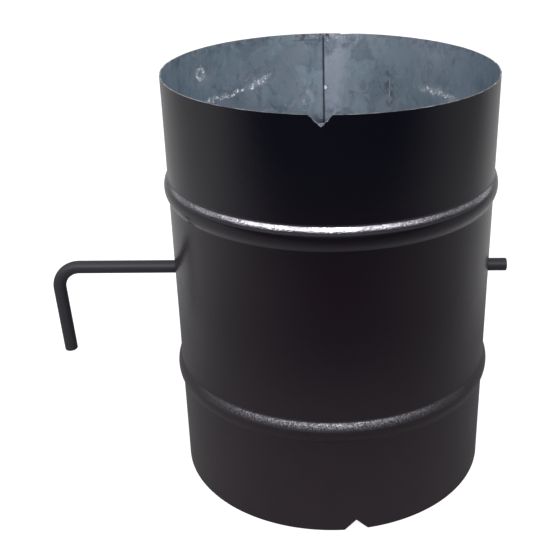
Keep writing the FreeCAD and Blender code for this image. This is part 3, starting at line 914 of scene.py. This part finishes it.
def zinc_effect():
    """Aged galvanised coat: cloudy patches, spangle, runs and stains."""
    inputs = {"Place": "Vector", "Contrast": "Float"}
    outputs = {"Colour": "Color", "Roughness": "Float", "Relief": "Float"}
    effect, source, target = shared_effect("galvanised_coat", inputs, outputs)
    place = source["Place"]
    contrast = source["Contrast"]
    hanging = add_node(effect, "ShaderNodeMapping", {0: place, 3: HANGING_STRETCH}).outputs[0]
    mottle = noise(effect, hanging, ZINC_MOTTLE_SCALE, detail=6.0, roughness=0.66, distortion=0.5)
    stain = noise(effect, hanging, ZINC_STAIN_SCALE, detail=7.0, roughness=0.72, distortion=1.0)
    cloud = noise(effect, place, ZINC_CLOUD_SCALE, detail=5.0, roughness=0.62)
    fine = noise(effect, place, ZINC_FINE_SCALE, detail=4.0, roughness=0.65)
    bright_tone, dark_tone, patch_tone = crystal_tones(effect, place)

    by_crystal = product(effect, less(effect, patch_tone, 0.5), CRYSTAL_PATCH_DEPTH)
    patch = spread(effect, total(effect, cloud, by_crystal), 0.42, 0.68)
    colour = blend_colour(effect, patch, ZINC_SLATE, ZINC_LAVENDER)
    darker = greatest(
        effect,
        product(effect, spread(effect, mottle, 0.5, 0.3), contrast),
        product(effect, spread(effect, dark_tone, 0.35, 0.0, 0.0, 0.28), contrast),
    )
    colour = blend_colour(effect, darker, colour, ZINC_STAIN_AND_SHADE)
    paler = greatest(
        effect,
        product(effect, spread(effect, mottle, 0.55, 0.8), contrast),
        product(effect, spread(effect, bright_tone, 0.6, 1.0, 0.0, 0.22), contrast),
    )
    colour = blend_colour(effect, paler, colour, ZINC_SPANGLE)
    marks = product(effect, spread(effect, stain, 0.59, 0.66), contrast)
    effect.links.new(blend_colour(effect, marks, colour, ZINC_STAIN_AND_SHADE), target["Colour"])

    dull = total(effect, product(effect, dark_tone, 0.1), product(effect, fine, 0.24), ZINC_SMOOTHEST)
    effect.links.new(dull, target["Roughness"])
    effect.links.new(total(effect, fine, product(effect, mottle, 1.5)), target["Relief"])
    return effect


def seam_band(tree, angle):
    """A lighter band over the seam's lap, sharp at the fold on its left and soft on its right."""
    left = spread(tree, angle, *BAND_LEFT)
    right = spread(tree, angle, *BAND_RIGHT)
    return product(tree, left, right, BAND_SHARE)


def dark_marks(tree, height, angle, ragged):
    """A scribed line by the rim, and grimy runs down the wall and by the seam."""
    scribed = product(
        tree,
        window(tree, height, *SCRIBED_HEIGHTS),
        window(tree, angle, *SCRIBED_ANGLES),
        SCRIBED_SHARE,
    )
    run = product(
        tree,
        window(tree, height, *RUN_HEIGHTS),
        window(tree, angle, *RUN_ANGLES),
        spread(tree, ragged, 0.4, 0.6),
    )
    seam_run = product(
        tree,
        window(tree, angle, *SEAM_RUN_ANGLES),
        spread(tree, height, *SEAM_RUN_HEIGHTS),
        spread(tree, ragged, 0.38, 0.6),
    )
    return greatest(tree, scribed, product(tree, greatest(tree, run, seam_run), RUN_SHARE))


def pale_marks(tree, place, height, angle, ragged):
    """A scratch down the wall at the right, and a painted glare highlight at the left of the seam."""
    scratch = product(
        tree,
        window(tree, height, *SCRATCH_HEIGHTS),
        window(tree, angle, *SCRATCH_ANGLES),
        spread(tree, ragged, 0.38, 0.55),
        SCRATCH_SHARE,
    )
    # Painted highlight: a soft pale glare patch
    painted_glare = product(
        tree,
        spread(tree, reach_from(tree, place, on_inside(GLARE_ANGLE, GLARE_HEIGHT)), *GLARE_REACH),
        spread(tree, ragged, 0.4, 0.65),
        GLARE_SHARE,
    )
    return greatest(tree, scratch, painted_glare)


def left_highlight_streak(tree, wavering, angle):
    """A painted highlight streak that curves up to the right, with a gap in it."""
    along = greatest(tree, less(tree, angle, LEFT_STREAK_FOOT), 0.0)
    climb = product(tree, reckon(tree, "POWER", along, 3.0), LEFT_STREAK_CLIMB)
    streak = window(tree, less(tree, wavering, climb), *LEFT_STREAK_HEIGHTS)
    gap = spread(tree, window(tree, angle, *LEFT_STREAK_SKIP), 0.0, 1.0, 1.0, LEFT_STREAK_SKIPPED)
    return product(tree, streak, window(tree, angle, *LEFT_STREAK_ANGLES), gap)


def punch_burr(tree, place):
    """Bright burr round the punch mark in the seam."""
    turn = math.radians(PUNCH_ANGLE)
    middle = (LAP_FACE * math.cos(turn), LAP_FACE * math.sin(turn), PUNCH_HEIGHT)
    return spread(tree, reach_from(tree, place, middle), *BURR_REACH, 0.0, BURR_SHARE)


def new_zinc(name, contrast):
    """Dull galvanised sheet, with its relief in place and its colour and roughness still to be joined."""
    material, tree, shader = new_material(name)
    place = place_on_object(tree)
    coat = place_effect(tree, GALVANISED_COAT, {"Place": place, "Contrast": contrast})
    relief(tree, shader, coat["Relief"], ZINC_RELIEF, ZINC_RELIEF_STRENGTH)
    return material, tree, shader, place, coat


def plate_zinc():
    """Dull zinc on the plate, its saddles and rivets."""
    material, tree, shader, place, coat = new_zinc("galvanised_sheet", PLATE_CONTRAST)
    tree.links.new(coat["Colour"], shader.inputs["Base Color"])
    tree.links.new(coat["Roughness"], shader.inputs["Roughness"])
    shader.inputs["Metallic"].default_value = ZINC_METALLIC
    return material


def inside_zinc():
    """Dull zinc inside the pipe, with the seam's band and grime, painted shade in the seam's crevice and down the
    right side, overspray, marks, and painted highlights: two streaks, a glow round the right one, a glare patch
    and a ring round the dent, broken into glints.
    """
    material, tree, shader, place, coat = new_zinc("galvanised_inside", INSIDE_CONTRAST)
    height, angle = height_and_angle(tree, place)
    ragged = noise(tree, place, RAGGED_SCALE, detail=3.0, roughness=0.6)
    glint = spread(tree, noise(tree, place, GLINT_SCALE, detail=2.0), 0.5, 0.62)
    by_seam = window(tree, angle, *BY_SEAM_ANGLES)

    # Painted shade: the inside darkens towards its right, blended in with the stain colour
    painted_side_shade = spread(tree, angle, *SHADED_SIDE_ANGLES, 0.0, SHADED_SIDE_SHARE)
    lip = product(tree, window(tree, angle, *LIP_ANGLES), LIP_SHARE)
    # Painted shade along the crevice at the seam's fold
    painted_crevice_shade = product(tree, window(tree, angle, *CREVICE_SHADE_ANGLES), CREVICE_SHADE_SHARE)
    sprayed = spread(tree, ragged, 0.45, 0.65, 0.0, OVERSPRAY_SHARE)
    overspray = product(tree, spread(tree, height, *OVERSPRAY_HEIGHTS), sprayed)
    smudged = spread(tree, ragged, 0.52, 0.66)
    smudge = product(tree, by_seam, spread(tree, height, *SMUDGE_HEIGHTS), smudged, SMUDGE_SHARE)

    # Painted highlights: streaks along the inside, a soft glow round the right one, and a ring round the dent
    wavering = total(tree, height, product(tree, less(tree, ragged, 0.5), STREAK_WAVER))
    falling = total(tree, wavering, product(tree, angle, RIGHT_STREAK_FALL))
    right_streak = product(
        tree,
        window(tree, falling, *RIGHT_STREAK_HEIGHTS),
        window(tree, angle, *RIGHT_STREAK_ANGLES),
        RIGHT_STREAK_SHARE,
    )
    highlight_glow = product(
        tree,
        window(tree, falling, *HIGHLIGHT_GLOW_HEIGHTS),
        window(tree, angle, *HIGHLIGHT_GLOW_ANGLES),
        HIGHLIGHT_GLOW_SHARE,
    )
    streaks = total(tree, left_highlight_streak(tree, wavering, angle), right_streak)
    from_dent = reach_from(tree, place, on_inside(DENT_RING_ANGLE, DENT_RING_HEIGHT))
    painted_highlights = greatest(tree, streaks, window(tree, from_dent, *DENT_RING))
    # Painted highlights broken up into glints, joined with the real nicks and the burr round the punch mark
    glinting_highlights = product(tree, painted_highlights, spread(tree, glint, 0.0, 1.0, UNGLINTED, 1.0))
    nicked = product(tree, by_seam, spread(tree, height, *NICK_HEIGHTS), glint, NICK_SHARE)
    highlights_and_bright_marks = greatest(tree, glinting_highlights, nicked, punch_burr(tree, place))

    # Layers in order; they include painted shade down the right and in the crevice, and painted highlights: the
    # glare patch, the glow and the streaks
    layers = (
        (seam_band(tree, angle), ZINC_BAND),
        (painted_side_shade, ZINC_STAIN_AND_SHADE),
        (lip, ZINC_BAND),
        (painted_crevice_shade, SEAM_GRIME_AND_SHADE),
        (overspray, OVERSPRAY),
        (smudge, SEAM_GRIME_AND_SHADE),
        (dark_marks(tree, height, angle, ragged), SEAM_GRIME_AND_SHADE),
        (pale_marks(tree, place, height, angle, ragged), RUBBED_ZINC_AND_HIGHLIGHT),
        (highlight_glow, RUBBED_ZINC_AND_HIGHLIGHT),
        (highlights_and_bright_marks, RUBBED_ZINC_AND_HIGHLIGHT),
    )
    colour = coat["Colour"]
    for share, tint in layers:
        colour = blend_colour(tree, share, colour, tint)
    rough = total(tree, coat["Roughness"], product(tree, highlights_and_bright_marks, HIGHLIGHT_AND_MARK_ROUGHENING))
    metallic = spread(tree, highlights_and_bright_marks, 0.2, 0.8, ZINC_METALLIC, HIGHLIGHT_AND_MARK_METALLIC)
    tree.links.new(colour, shader.inputs["Base Color"])
    tree.links.new(rough, shader.inputs["Roughness"])
    tree.links.new(metallic, shader.inputs["Metallic"])
    return material


def cut_edge():
    """Bare steel along a sheared edge, bright in places and dark in others."""
    material, tree, shader = new_material("bare_cut_edge")
    marks = noise(tree, place_on_object(tree), EDGE_MARK_SCALE, detail=7.0, roughness=0.7)
    colour = blend_colour(tree, spread(tree, marks, 0.4, 0.62), EDGE_DARK, EDGE_BRIGHT)
    tree.links.new(colour, shader.inputs["Base Color"])
    tree.links.new(total(tree, product(tree, marks, 0.3), 0.25), shader.inputs["Roughness"])
    shader.inputs["Metallic"].default_value = 1.0
    return material


def floor_colour(tree, x, y, ahead):
    """Pale floor, dimmer beside the object and dark ahead of it."""
    back = product(tree, y, FLOOR_BESIDE_BACK)
    beside = spread(tree, less(tree, unsigned(tree, x), back), 0.0, FLOOR_BESIDE_REACH)
    to_right = spread(tree, x, -FLOOR_SIDES_MEET, FLOOR_SIDES_MEET)
    sides = blend_colour(tree, to_right, FLOOR_LEFT, FLOOR_RIGHT)
    behind = blend_colour(tree, beside, FLOOR_OPEN, sides)
    return blend_colour(tree, ahead, FLOOR_AHEAD, behind)


def build_floor():
    """Plain floor that looks white to the camera and keeps the object's shadow."""
    clear_selection()
    bpy.ops.mesh.primitive_plane_add(size=FLOOR_SIZE, location=(0, 0, -FLOOR_DROP))
    floor = bpy.context.object
    floor.name = "floor"
    material, tree, shader = new_material("white_floor")
    x, y, z = split(tree, place_on_object(tree))
    sideways = product(tree, unsigned(tree, x), FLOOR_DIM_SPREAD)
    rightward = product(tree, x, FLOOR_DIM_RIGHT)
    away = total(tree, y, less(tree, sideways, rightward))
    ahead = spread(tree, away, FLOOR_DIM_FROM, FLOOR_DIM_TO)
    tree.links.new(floor_colour(tree, x, y, ahead), shader.inputs["Base Color"])
    shader.inputs["Roughness"].default_value = 1.0
    shader.inputs["Specular IOR Level"].default_value = 0.0

    path = add_node(tree, "ShaderNodeLightPath").outputs
    plainly = greatest(tree, path["Is Camera Ray"], path["Is Glossy Ray"], path["Is Transmission Ray"])
    mirrored = product(tree, plainly, product(tree, ahead, FLOOR_GLOW_MIRRORED))
    glow = greatest(tree, mirrored, product(tree, path["Is Camera Ray"], FLOOR_GLOW))
    shader.inputs["Emission Color"].default_value = WHITE
    tree.links.new(glow, shader.inputs["Emission Strength"])
    floor.data.materials.append(material)


def build_room():
    """Soft white room, bright behind and overhead, dim ahead of the object."""
    world = bpy.data.worlds.new("room")
    bpy.context.scene.world = world
    world.use_nodes = True
    tree = world.node_tree
    background = tree.nodes["Background"]
    x, y, z = split(tree, add_node(tree, "ShaderNodeTexCoord").outputs["Generated"])
    leftward = product(tree, x, -ROOM_LEFT_SHARE)
    behind = spread(tree, total(tree, y, leftward), ROOM_DIM_FROM, ROOM_DIM_TO)
    room = blend_colour(tree, behind, ROOM_AHEAD, ROOM_BEHIND)
    room = blend_colour(tree, spread(tree, z, ROOM_TOP_FROM, 1.0), room, ROOM_OVERHEAD)
    by_camera = add_node(tree, "ShaderNodeLightPath").outputs["Is Camera Ray"]
    tree.links.new(blend_colour(tree, by_camera, room, WHITE), background.inputs["Color"])
    background.inputs["Strength"].default_value = 1.0


def hang_lamp(name, bearing, elevation, width, tall, radiance):
    """A soft box aimed at the middle of the pipe, its bearing from straight ahead to the right."""
    data = bpy.data.lights.new(name, "AREA")
    data.shape = "RECTANGLE"
    data.color = LAMP_TINT
    data.size = width
    data.size_y = tall
    data.energy = radiance * math.pi * width * tall
    light = bpy.data.objects.new(name, data)
    bpy.context.scene.collection.objects.link(light)
    level = STRIP_DISTANCE * math.cos(math.radians(elevation))
    offset = Vector((
        level * math.sin(math.radians(bearing)),
        -level * math.cos(math.radians(bearing)),
        STRIP_DISTANCE * math.sin(math.radians(elevation)),
    ))
    light.location = Vector((0, 0, PIPE_LENGTH / 2)) + offset
    light.rotation_euler = (-offset).to_track_quat("-Z", "Y").to_euler()


def set_camera():
    """The camera in front of the pipe and above it, looking down."""
    data = bpy.data.cameras.new("camera")
    camera = bpy.data.objects.new("camera", data)
    bpy.context.scene.collection.objects.link(camera)
    data.sensor_width = SENSOR
    data.lens = FOCAL_PIXELS / PICTURE * SENSOR
    data.shift_x = (PICTURE / 2 - CENTRE_X) / PICTURE
    data.shift_y = (CENTRE_Y - PICTURE / 2) / PICTURE
    data.clip_start = CAMERA_NEAR
    pitch = Matrix.Rotation(math.pi / 2 - CAMERA_PITCH, 4, "X")
    roll = Matrix.Rotation(CAMERA_ROLL, 4, "Z")
    camera.matrix_world = Matrix.Translation((0, -CAMERA_BACK, CAMERA_UP)) @ pitch @ roll
    bpy.context.scene.camera = camera


# Finishes
SPRAYED_PAINT = paint_effect()
GALVANISED_COAT = zinc_effect()
PAINT = pipe_paint()
ROD_PAINT = rod_paint()
ZINC = inside_zinc()
PLATE_ZINC = plate_zinc()
BARE_EDGE = cut_edge()

# Pipe
shell = roll_pipe_shell()
for finish in (PAINT, ZINC, BARE_EDGE):
    shell.data.materials.append(finish)
make_uneven(shell)
thicken(shell)
cut_openings(shell)
knock_dent(shell)
smooth(shell)
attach(shell, "pipe")
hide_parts("pipe_shell")

# Rod
rod = bend_rod()
rod.data.materials.append(ROD_PAINT)
smooth(rod)
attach(rod, "damper")
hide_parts("control_rod")

# Plate, saddles and rivets
for cad_node in frame["nodes"].values():
    cad_node.data.materials.clear()
    cad_node.data.materials.append(PLATE_ZINC)

# Floor, light and camera
build_floor()
build_room()
for number, strip in enumerate(STRIPS):
    hang_lamp(f"strip_{number}", *strip)
set_camera()
bpy.context.scene.view_settings.view_transform = "Standard"
